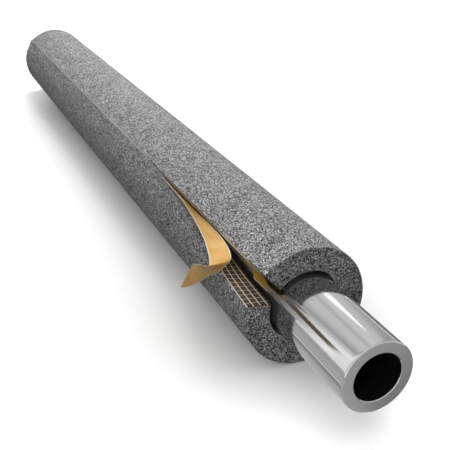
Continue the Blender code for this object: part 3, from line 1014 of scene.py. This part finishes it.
def glowing_sheet(name, points, uvs, colour, stops):
    """Staged sheet that shows in mirror images alone: its glow is a colour times the brightness along U.

    stops are (position along U, brightness) pairs, with straight lines between them.
    """
    material, tree = new_material(name)
    spot = node(tree, "ShaderNodeSeparateXYZ", {}, {"Vector": node(tree, "ShaderNodeUVMap").outputs["UV"]})
    ramp = node(tree, "ShaderNodeValToRGB", {}, {"Fac": spot.outputs["X"]},
                stops=[(position, brightness / RAMP_TOP) for position, brightness in stops])
    tint = node(tree, "ShaderNodeVectorMath", {1: linear(colour)[:3]}, {0: ramp.outputs["Color"]},
                operation="MULTIPLY")
    glow = node(tree, "ShaderNodeEmission", {"Strength": RAMP_TOP}, {"Color": tint.outputs["Vector"]})
    node(tree, "ShaderNodeOutputMaterial", {}, {"Surface": glow.outputs["Emission"]})
    rows, columns = points.shape[:2]
    sheet = make_mesh(name, place(points).reshape(-1, 3), quads_over(rows, columns), [material],
                      uvs=uvs.reshape(-1, 2))
    sheet.visible_camera = False
    sheet.visible_diffuse = False
    sheet.visible_transmission = False
    sheet.visible_shadow = False


def glossy_card(name, corners, colour, stops):
    """Flat glowing card through four corners, U running from its far end to its near one."""
    low_far, low_near, high_near, high_far = np.array(corners, dtype=float)
    glowing_sheet(name, np.array([[low_far, low_near], [high_far, high_near]]), CARD_UVS, colour, stops)


def make_floor_reflection():
    """Glowing sheet just above the floor beside the pipe, a painted reflection in the pipe: U is the distance out
    from the axis over its width.
    """
    width = FLOOR_REFLECTION[-1][0]
    low = FLOOR_REFLECTION_OFF_FLOOR - AXIS_Z
    points = np.array([
        [(FLOOR_REFLECTION_FROM, 0.0, low), (FLOOR_REFLECTION_FROM, -width, low)],
        [(FLOOR_REFLECTION_TO, 0.0, low), (FLOOR_REFLECTION_TO, -width, low)],
    ])
    stops = [(out / width, brightness) for out, brightness in FLOOR_REFLECTION]
    glowing_sheet("floor_reflection", points, CARD_UVS, "#FFFFFF", stops)


def make_light_wall(sides=180):
    """Round wall of light panels: a cylinder about the pipe's near end, U being the compass angle over 360."""
    turn = np.linspace(0.0, 2 * math.pi, sides + 1)
    ring = np.stack([WALL_RADIUS * np.cos(turn), WALL_RADIUS * np.sin(turn), 0 * turn - AXIS_Z], axis=-1)
    points = np.stack([ring, ring + (0, 0, WALL_HEIGHT)])
    u = np.stack([turn / (2 * math.pi)] * 2)
    v = np.repeat([[0.0], [1.0]], sides + 1, axis=1)
    stops = [(angle / 360, brightness) for angle, brightness in WALL_PANELS]
    glowing_sheet("light_wall", points, np.stack([u, v], axis=-1), "#FFFFFF", stops)


make_floor()
make_sky()
soft_box("overhead", at=(0.25, -0.65, 2.285), aim=(0.25, -0.65, 0.0), size=(3.4, 3.4), power=44.0)
soft_box("far_box", at=(-0.6, 0.4, 0.95), aim=(-0.65, 0.0, 0.05), size=(1.5, 0.8), power=12.0)
soft_box("near_box", at=(1.43, -1.12, 0.92), aim=(-0.3, 0.0, 0.05), size=(0.5, 0.5), power=7.2)
make_light_wall()
glossy_card("wedge_card", WEDGE_CARD, "#FFFFFF", [(0.0, 1.9), (0.8, 1.7), (1.0, 1.0)])
glossy_card("brown_card", BROWN_CARD, "#C8A884", [(0.0, 0.22), (0.88, 0.26), (1.0, 0.6)])
glossy_card("band_card", BAND_CARD, "#FFFFFF", [(0.0, 0.28), (0.25, 0.45), (0.5, 0.85), (1.0, 1.5)])
glossy_card("dark_card", DARK_CARD, "#FFFFFF", [(0.0, 0.1), (1.0, 0.15)])
make_floor_reflection()
glossy_card("floor_dusk", FLOOR_DUSK, "#FFFFFF", [(0.0, 0.24), (1.0, 0.24)])

# Camera: place in metres, turn and tilt in radians, found from the outlines of the sleeve and the pipe
CAMERA_AT = (0.9193, -0.27725, 0.40278)
CAMERA_YAW = 2.7245
CAMERA_PITCH = 0.4515
FOCAL_LENGTH = 59.48
SENSOR_WIDTH = 36.0
FAR_CLIP = 50.0

camera_data = bpy.data.cameras.new("camera")
camera_data.lens = FOCAL_LENGTH
camera_data.sensor_width = SENSOR_WIDTH
camera_data.clip_end = FAR_CLIP
camera = bpy.data.objects.new("camera", camera_data)
bpy.context.scene.collection.objects.link(camera)
bpy.context.scene.camera = camera
camera.location = CAMERA_AT
camera.rotation_euler = (math.pi / 2 - CAMERA_PITCH, 0.0, CAMERA_YAW - math.pi / 2)

bpy.context.scene.view_settings.view_transform = "Standard"
